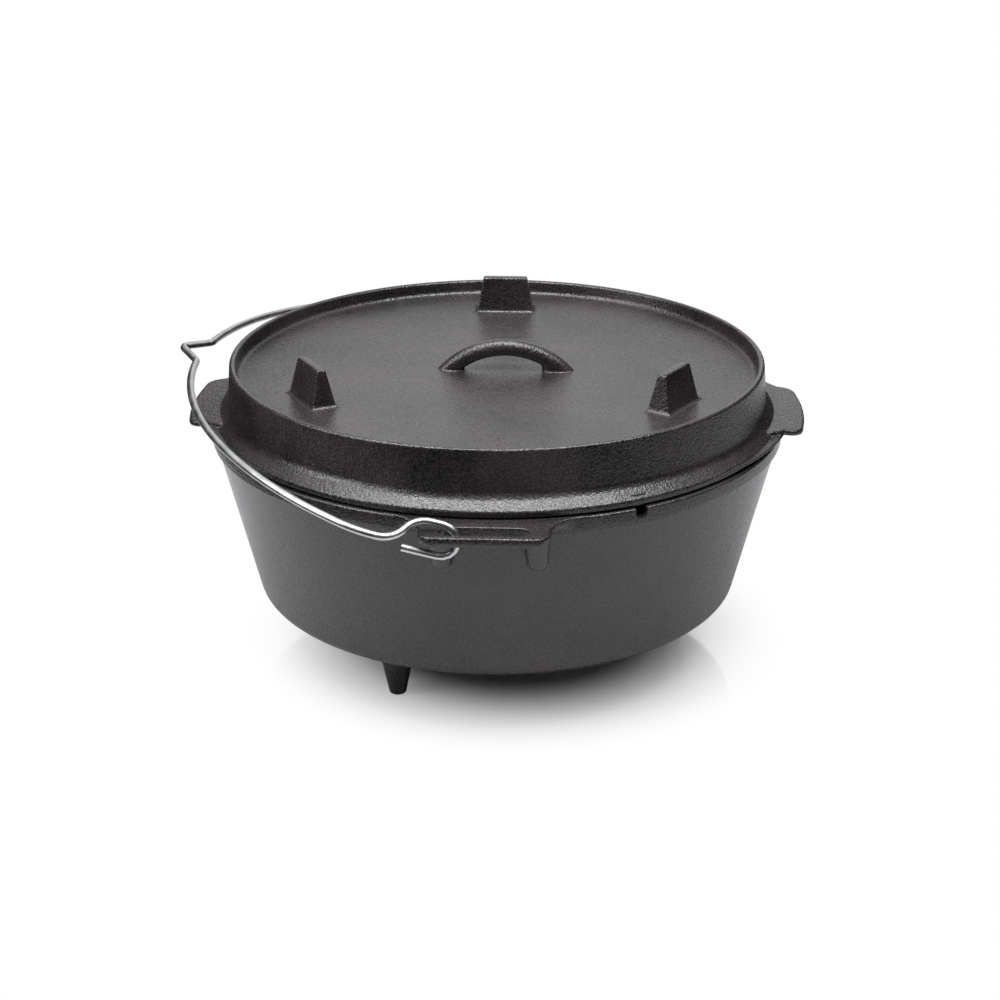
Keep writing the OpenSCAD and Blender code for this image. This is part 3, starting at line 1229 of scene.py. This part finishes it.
    def handle(self) -> bpy.types.Object:
        """Pour the handle: a low arched bar whose ends flare into the plate.

        Returns:
            The piece.
        """
        low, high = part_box("lid_handle")
        middle = (low.x + high.x) / 2
        bar_r = self.handle_d / 2
        rise = self.handle_gap + bar_r
        half = self.handle_span / 2
        arch_r = (half ** 2 + rise ** 2) / (2 * rise)
        half_turn = math.degrees(math.asin(half / arch_r)) + self.handle_sunk
        centre = Vector((middle, 0, (self.plate_z + rise - arch_r) * MM))
        across, up = around(arch_r * MM, 90 + half_turn)
        points, steps = self.handle_steps
        clear_selection()
        bpy.ops.mesh.primitive_circle_add(
            vertices=points,
            radius=bar_r * MM,
            fill_type="NGON",
            location=centre + Vector((across, 0, up)),
            rotation=(0, math.radians(90 - half_turn), 0),
        )
        bar = settle(adopt("handle_bar"))
        spin(bar, 2 * half_turn, steps, centre, Vector((0, 1, 0)))
        with editing(bar, whole=True):
            bpy.ops.mesh.bisect(
                plane_co=(0, 0, (self.plate_z - self.plate / 2) * MM),
                plane_no=UP,
                clear_inner=True,
                use_fill=True,
            )
        close_mesh(bar)
        pieces = [bar]
        for side in (-half, half):
            pieces.append(self.disc_pad(middle / MM + side, 0, self.handle_pad_r))
        heel = Vector((middle / MM + half + self.heel_at[0], 0, self.plate_z + self.heel_at[1]))
        top = heel + Vector((self.heel_run[0], 0, self.heel_run[1]))
        pieces.append(add_stub("handle_heel", heel, top, bar_r, bar_r - self.heel_taper))
        return pour("lid_handle_cast", pieces, *self.handle_pour)

    def soften_rim(self, slab: bpy.types.Object) -> None:
        """Bevel a slab's level edges where they lie outside the flange.

        Args:
            slab: Slab that reaches out past the flange.
        """
        soften_outside(slab, self.edge_r + self.tab_clear, self.tab_bevel)
        close_mesh(slab)

    def wing(self, under: float) -> bpy.types.Object:
        """Make the flange's wider stretch on both sides of the right tab.

        Args:
            under: Height of its underside.

        Returns:
            A crescent that lies flush with the flange's edge.
        """
        turns = [self.wing_turn * (1 - step / self.wing_steps) for step in range(2 * self.wing_steps + 1)]
        outer = []
        for turn in turns:
            grown = self.wing_turn - max(abs(turn), self.root_turn)
            share = grown / (self.wing_turn - self.root_turn)
            outer.append(Corner(*around(self.edge_r - self.sunk + self.wing_w * share, turn)))
        inner = [Corner(*around(self.skirt_r + self.tab_inset, turn)) for turn in reversed(turns)]
        crescent = raise_plate("flange_wing", outer + inner, under, self.flange_z)
        self.soften_rim(crescent)
        return crescent

    def flange_pad(self, spread: float) -> bpy.types.Object:
        """Make a stretch of skirt and flange just under the lid's surface, for the right tab to grow from.

        Args:
            spread: Angle from its middle to each end in degrees.

        Returns:
            The pad.
        """
        wall_r = self.skirt_r - self.sunk
        back_r = self.skirt_r - self.pad_depth
        rim_r = self.edge_r - self.sunk
        high = self.skirt_z + self.pad_rise
        low = self.edge_z + 2 * self.sunk
        return ring_sector("flange_pad", [
            Corner(wall_r, high),
            Corner(wall_r, self.skirt_z - self.sunk, self.flange_fillet),
            Corner(rim_r, self.flange_z - self.sunk),
            Corner(rim_r, low),
            Corner(back_r, low),
            Corner(back_r, high),
        ], 0, spread)

    def tab(self) -> bpy.types.Object:
        """Pour the right tab: a rounded lip that carries the flange outwards.

        Returns:
            The piece.
        """
        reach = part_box("lid_tab_right")[1].x / MM
        top, under = (self.flange_z + rise for rise in self.tab_rise)
        spread = self.root_turn + self.tab_run
        upper = [
            Corner(*around(self.edge_r - self.sunk, spread)),
            Corner(*self.tab_root, self.tab_blend),
            Corner(*self.tab_shoulder, self.tab_corner),
        ]
        lower = [Corner(corner.across, -corner.along, corner.radius) for corner in reversed(upper)]
        outer = [Corner(math.sqrt(reach ** 2 - y ** 2), y) for y in self.tab_edge]
        inner = arc_corners(self.skirt_r + self.tab_inset, -spread, spread)
        slab = raise_plate("tab_slab", upper + outer + lower + inner, under, top)
        self.soften_rim(slab)
        hinge = Matrix.Translation(Vector((self.edge_r, 0, top)) * MM)
        fall = Matrix.Rotation(math.radians(self.tab_fall), 4, "Y")
        slab.matrix_world = hinge @ fall @ hinge.inverted()
        settle(slab)
        pad = self.flange_pad(spread + self.pad_run)
        return pour("lid_tab_right_cast", [slab, self.wing(under), pad], *self.tab_pour)

    def build(self) -> None:
        """Model all the lid's pieces and dress them."""
        pieces = {"lid_shell": self.shell(), "lid_handle": self.handle(), "lid_foot_rear": self.foot()}
        for node, degrees in (("lid_foot_left", 120), ("lid_foot_right", -120)):
            pieces[node] = turned_copy(pieces["lid_foot_rear"], node + "_cast", degrees)
        pieces["lid_tab_right"] = self.tab()
        pieces["lid_tab_left"] = turned_copy(pieces["lid_tab_right"], "lid_tab_left_cast", 180)
        for node, piece in pieces.items():
            dress(piece, self.iron, Body.LID, [node])


@dataclass
class WireBail:
    """One bent wire: a bow with a grip kink, and a hook round a bar of each ear."""

    zinc: bpy.types.Material
    wire_d: float = 4.5
    hook_r: float = 9.6
    tail: float = 13.5
    # Length by which the front hook is drawn out past its bar
    front_drawn: float = 6.5
    hook_slide: float = 38.0
    hook_y: float = 191.5
    # Angle in degrees at which the bail leans on the pot's left side
    rest: float = 11.4
    bow_r: float = 219.5
    bow_back: float = 38.5
    shoulder_r: float = 54.0
    sweep: float = 26.5
    kink_tip: float = 193.5
    kink_turn: float = 38.5
    kink_tip_r: float = 5.0
    kink_foot_r: float = 8.0
    cut_bevel: float = 0.5
    # Degrees times radius that one step of an arc takes, and the fewest steps in an arc
    arc_step: float = 220.0
    arc_few: int = 6
    # Blender's number for the steps round the wire
    section_steps: int = 6
    # Angle past which an edge shows as a crease
    crease: float = 50.0

    def arc(self, centre: Vector, radius: float, start: float, stop: float) -> list[Vector]:
        """Give points on an arc in the bail's plane, one every few degrees.

        Args:
            centre: Middle of the arc.
            radius: Its radius.
            start: Direction of its first point in degrees.
            stop: Direction of its last point in degrees.

        Returns:
            The points.
        """
        count = max(self.arc_few, round(abs(stop - start) * radius / self.arc_step))
        turns = [start + (stop - start) * step / count for step in range(count + 1)]
        return [centre + Vector((*around(radius, turn), 0)) for turn in turns]

    def half_line(self, drawn: float) -> list[Vector]:
        """Work out the middle line of half the bail, from the kink's tip to a hook's end.

        Args:
            drawn: Length by which its hook is drawn out.

        Returns:
            Points in millimetres: X runs out from the hinge line, Y along it and Z up.
        """
        arm_y = math.hypot(self.hook_y, self.hook_slide / 2)
        bow = Vector((-self.bow_back, 0, 0))
        bow_end = math.degrees(math.acos((self.sweep + self.bow_back) / (self.bow_r - self.shoulder_r)))
        shoulder = bow + Vector((*around(self.bow_r - self.shoulder_r, bow_end), 0))
        shoulder_y = shoulder.y + self.shoulder_r
        foot = self.kink_foot()
        bow_start = math.degrees(math.atan2(foot.y, foot.x + self.bow_back))
        tip = Vector((self.kink_tip - self.kink_tip_r, 0, 0))
        line = self.arc(tip, self.kink_tip_r, 0, self.kink_turn)
        line += self.arc(foot, self.kink_foot_r, 180 + self.kink_turn, 180 + bow_start)
        line += self.arc(bow, self.bow_r, bow_start, bow_end)[1:]
        line += self.arc(shoulder, self.shoulder_r, bow_end, 90)[1:]
        line += self.sweep_line(shoulder_y, arm_y)
        bend = self.arc(Vector((-drawn, 0, 0)), self.hook_r, 90, 270)
        hook = [Vector((p.x, arm_y, p.y)) for p in bend]
        # A hook that isn't drawn out starts on the sweep's last point
        return line + hook[0 if drawn else 1:] + [Vector((self.tail, arm_y, -self.hook_r))]

    def kink_foot(self) -> Vector:
        """Find the middle of the bend at the kink's foot, which touches the bow from outside.

        Returns:
            The point in millimetres.
        """
        turn = math.radians(self.kink_turn)
        both = self.kink_tip_r + self.kink_foot_r
        start = Vector((
            self.kink_tip - self.kink_tip_r + both * math.cos(turn) + self.bow_back,
            both * math.sin(turn),
            0,
        ))
        way = Vector((-math.sin(turn), math.cos(turn), 0))
        along = start.dot(way)
        rest = start.dot(start) - (self.bow_r + self.kink_foot_r) ** 2
        reach = -along - math.sqrt(along ** 2 - rest)
        return start + reach * way - Vector((self.bow_back, 0, 0))

    def sweep_line(self, shoulder_y: float, arm_y: float) -> list[Vector]:
        """Work out the double bend from the shoulder up to the hook.

        Args:
            shoulder_y: Where it starts along the hinge line.
            arm_y: Where it ends along the hinge line.

        Returns:
            Points in millimetres, without the first.
        """
        side = math.hypot(shoulder_y - arm_y, self.hook_r)
        roll = math.atan2(self.hook_r, shoulder_y - arm_y)
        turn = math.degrees(2 * math.atan2(side, self.sweep))
        radius = self.sweep / (2 * math.sin(math.radians(turn)))
        first = self.arc(Vector((0, -radius, 0)), radius, 90, 90 + turn)
        second = self.arc(Vector((-self.sweep, radius - side, 0)), radius, 270 + turn, 270)
        return [
            Vector((self.sweep + p.x, shoulder_y + p.y * math.cos(roll), -p.y * math.sin(roll)))
            for p in first[1:] + second[1:]
        ]

    def build(self, joint: dict[str, object]) -> None:
        """Draw the wire's middle line, give it its thickness and dress it.

        Args:
            joint: The frame's hinge that the bail swings on.
        """
        rear = [Vector((p.x, -p.y, p.z)) for p in reversed(self.half_line(0)[1:])]
        line = rear + self.half_line(self.front_drawn)
        axis = Vector(joint["axis"])
        place = (
            Matrix.Translation(Vector(joint["pos_m"]))
            @ Matrix.Rotation(math.pi - math.atan2(axis.x, axis.y), 4, "Z")
            @ Matrix.Rotation(math.radians(-self.rest), 4, "Y")
        )
        wire = draw_line("bail_wire", [place @ (point * MM) for point in line])
        make_active(wire)
        bpy.ops.object.convert(target="CURVE")
        wire.data.bevel_depth = self.wire_d / 2 * MM
        wire.data.bevel_resolution = self.section_steps
        wire.data.use_fill_caps = True
        bpy.ops.object.convert(target="MESH")
        wire = adopt("bail_wire")
        # Only the two cut ends have faces of more than four corners
        pick(wire, Level.FACES, lambda face: len(face.vertices) > 4)
        bevel_picked(wire, self.cut_bevel)
        close_mesh(wire)
        shade(wire, self.crease)
        dress(wire, self.zinc, Body.BAIL, ["bail"])


@dataclass(frozen=True)
class SoftBox:
    """Soft lamp, with its place, width and height in metres and its power in watts."""

    name: str
    at: tuple[float, float, float]
    size: tuple[float, float]
    watts: float


@dataclass
class Studio:
    """White floor, soft lamps, a pale surround, a dark cloth and the camera, in metres."""

    # The sheet reaches farther to the right, where the lid's skirt mirrors it
    floor_r: float = 0.66
    floor_at: tuple[float, float] = (0.25, 0.12)
    # Distance of the sheet under the legs' tips
    floor_gap: float = 0.05 * MM
    floor_steps: int = 128
    floor_colour: str = "#cfced1"
    # Share of the floor's surface that mirrors, and its roughness
    gloss: float = 0.4
    gloss_roughness: float = 0.08
    # Inside the first radius the floor shows its own light and shade, beyond the second it is plain white
    shaded_r: tuple[float, float] = (0.078, 0.178)
    # Middle of that shade, to the right because light comes from the left
    shade_at: tuple[float, float, float] = (0.012, 0.0, 0.0)
    # Light of the room on what isn't mirrored, where 1 is white
    room: float = 0.45
    # The cloth's radius, and its lower and upper edge, in millimetres
    cloth_r: float = 1700.0
    cloth_z: tuple[float, float] = (-1500.0, 1300.0)
    cloth_steps: int = 48
    cloth_colour: str = "#161616"
    # Direction of the gap behind the oven, and the angle from its middle to each side
    cloth_gap: tuple[float, float] = (90.0, 19.0)
    lamps: tuple[SoftBox, ...] = (
        SoftBox("overhead_box", (0.0, -0.31, 1.4), (1.8, 0.36), 36.0),
        SoftBox("left_box", (-1.1, -0.5, 0.75), (0.4, 0.4), 8.0),
    )
    lamps_to: tuple[float, float, float] = (0.0, 0.0, 0.12)
    camera_at: tuple[float, float, float] = (0.06008, -1.31308, 0.62276)
    camera_to: tuple[float, float, float] = (0.001884, 0.0000862, 0.087925)
    # Focal length and width of the camera's sensor in millimetres, and the nearest distance that it shows
    lens: float = 80.32
    sensor: float = 36.0
    nearest: float = 0.01

    def aim(self, obj: bpy.types.Object, target: tuple[float, float, float]) -> None:
        """Turn a lamp or camera to look at a point.

        Args:
            obj: Lamp or camera.
            target: Point to look at.
        """
        way = Vector(target) - obj.location
        obj.rotation_euler = way.to_track_quat("-Z", "Y").to_euler()

    def light(self) -> None:
        """Add the soft boxes, which point at the middle of the oven."""
        for lamp in self.lamps:
            clear_selection()
            bpy.ops.object.light_add(type="AREA", location=lamp.at)
            box = bpy.context.active_object
            box.name = lamp.name
            box.data.shape = "RECTANGLE"
            box.data.size, box.data.size_y = lamp.size
            box.data.energy = lamp.watts
            self.aim(box, self.lamps_to)

    def floor(self) -> None:
        """Make the floor: a white glossy sheet that is plain white away from the oven."""
        clear_selection()
        bpy.ops.mesh.primitive_circle_add(
            vertices=self.floor_steps,
            radius=self.floor_r,
            fill_type="NGON",
            location=(*self.floor_at, -self.floor_gap),
        )
        sheet = settle(adopt("floor_sheet"))
        material = bpy.data.materials.new("white_acrylic_sheet")
        material.use_nodes = True
        tree = material.node_tree
        tree.nodes.clear()
        far = add_node(
            tree,
            "ShaderNodeVectorMath",
            settings={"operation": "DISTANCE"},
            values={1: self.shade_at},
            links={0: add_node(tree, "ShaderNodeTexCoord").outputs["Object"]},
        ).outputs["Value"]
        lift = add_node(
            tree,
            "ShaderNodeMapRange",
            settings={"interpolation_type": "SMOOTHSTEP"},
            values={"From Min": self.shaded_r[0], "From Max": self.shaded_r[1], "To Min": 0.0, "To Max": 1.0},
            links={"Value": far},
        ).outputs["Result"]
        # Only the camera sees the plain white and the mirror; the oven is lit by the matt sheet
        seen = add_node(tree, "ShaderNodeLightPath").outputs["Is Camera Ray"]
        product = {"operation": "MULTIPLY"}
        glow = add_node(tree, "ShaderNodeMath", product, links={0: lift, 1: seen}).outputs[0]
        mirror = add_node(tree, "ShaderNodeMath", product, {1: self.gloss}, {0: seen}).outputs[0]
        matt = add_node(tree, "ShaderNodeBsdfDiffuse", values={"Color": linear(self.floor_colour)})
        polish = add_node(
            tree, "ShaderNodeBsdfGlossy", values={"Color": linear(WHITE), "Roughness": self.gloss_roughness}
        )
        white = add_node(tree, "ShaderNodeEmission", values={"Color": linear(WHITE), "Strength": 1.0})
        skin = add_node(
            tree, "ShaderNodeMixShader", links={0: mirror, 1: matt.outputs[0], 2: polish.outputs[0]}
        )
        both = add_node(
            tree, "ShaderNodeMixShader", links={0: glow, 1: skin.outputs[0], 2: white.outputs[0]}
        )
        add_node(tree, "ShaderNodeOutputMaterial", links={"Surface": both.outputs[0]})
        sheet.data.materials.append(material)

    def surround(self) -> None:
        """Make the world: plain white to the eye and in reflections, and a dimmer light on the rest."""
        world = bpy.data.worlds.new("studio_surround")
        bpy.context.scene.world = world
        world.use_nodes = True
        tree = world.node_tree
        tree.nodes.clear()
        path = add_node(tree, "ShaderNodeLightPath").outputs
        seen = path["Is Camera Ray"]
        for ray in ("Is Glossy Ray", "Is Transmission Ray"):
            seen = add_node(
                tree, "ShaderNodeMath", settings={"operation": "MAXIMUM"}, links={0: seen, 1: path[ray]}
            ).outputs[0]
        room, white = (
            add_node(tree, "ShaderNodeBackground", values={"Color": linear(WHITE), "Strength": strength})
            for strength in (self.room, 1.0)
        )
        both = add_node(
            tree, "ShaderNodeMixShader", links={0: seen, 1: room.outputs[0], 2: white.outputs[0]}
        )
        add_node(tree, "ShaderNodeOutputWorld", links={"Surface": both.outputs[0]})

    def cloth(self) -> None:
        """Hang a dark cloth round the set, which upright faces mirror and the camera doesn't see."""
        edges = [Corner(self.cloth_r, z) for z in self.cloth_z]
        middle, half = self.cloth_gap
        cloth = turn_piece(draw_chain("dark_flag", edges, Plane.PROFILE), middle + half)
        spin(cloth, 360 - 2 * half, self.cloth_steps)
        cloth.visible_camera = False
        material = bpy.data.materials.new("black_duvetyne")
        material.use_nodes = True
        shader = material.node_tree.nodes["Principled BSDF"]
        shader.inputs["Base Color"].default_value = linear(self.cloth_colour)
        shader.inputs["Roughness"].default_value = 1.0
        cloth.data.materials.append(material)

    def camera(self) -> None:
        """Add the camera at the photograph's viewing angle."""
        clear_selection()
        bpy.ops.object.camera_add(location=self.camera_at)
        camera = bpy.context.active_object
        camera.data.sensor_width = self.sensor
        camera.data.lens = self.lens
        camera.data.clip_start = self.nearest
        self.aim(camera, self.camera_to)
        bpy.context.scene.camera = camera

    def build(self) -> None:
        """Set up the floor, the surround, the cloth, the lamps and the camera."""
        self.floor()
        self.surround()
        self.cloth()
        self.light()
        self.camera()
        bpy.context.scene.view_settings.view_transform = "Standard"


def main() -> None:
    """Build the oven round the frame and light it."""
    logging.basicConfig(level=logging.INFO, format="%(message)s")
    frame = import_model()
    swing = next(joint for joint in frame["joints"] if joint["name"] == "bail_swing")
    PotCasting(SeasonedIron("sand_cast_iron_pot").build()).build()
    LidCasting(SeasonedIron("sand_cast_iron_lid").build()).build()
    WireBail(GalvanisedWire("galvanised_steel_wire").build()).build(swing)
    Studio().build()
    clear_selection()
    bpy.context.view_layer.update()


if __name__ == "__main__":
    main()
